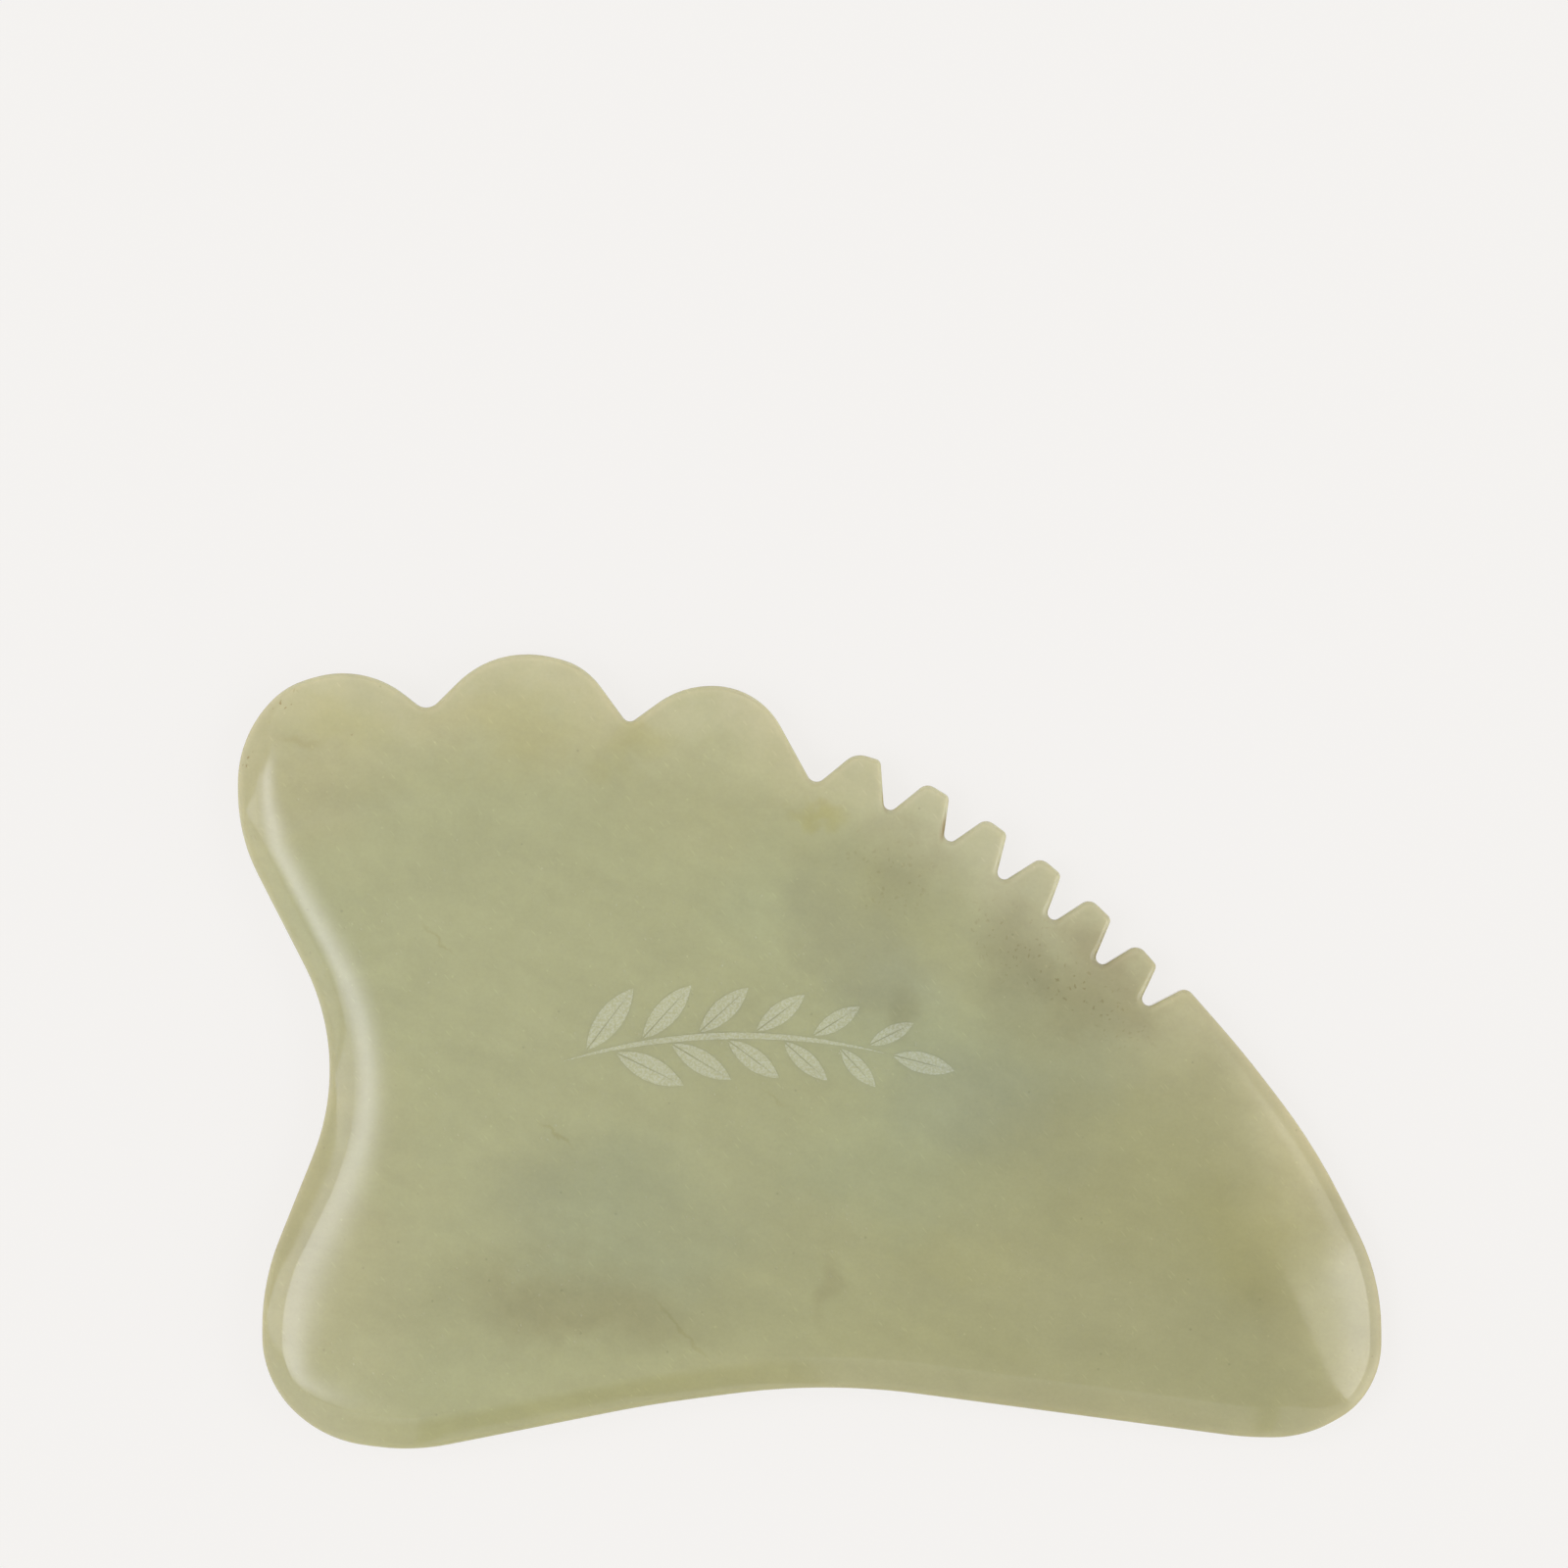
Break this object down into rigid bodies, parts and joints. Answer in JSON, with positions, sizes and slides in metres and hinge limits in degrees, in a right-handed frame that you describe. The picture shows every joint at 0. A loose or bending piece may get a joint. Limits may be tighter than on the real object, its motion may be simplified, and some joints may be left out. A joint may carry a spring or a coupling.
{
  "type": "gua sha scraper",
  "caption": "Flat polished jade scraping plate with finger lobes, a blunt comb edge, a hollow waist and a long gently hollow edge, for massage by hand.",
  "frame": {"origin": "middle of the plate's outline, on its back face", "axes": "+X along the plate's length, from the hollow waist towards the comb's end; +Y across it, towards the finger lobes; +Z out of the printed front face"},
  "size_m": [0.0972, 0.0674, 0.006],
  "materials": {
    "jade": "polished, slightly translucent, pale olive green with cloudy veins",
    "print": "thin frosted white printed film, slightly see-through and grainy"
  },
  "bodies": {
    "root": {"jade_plate": "jade", "printed_motif": "print"}
  },
  "joints": []
}
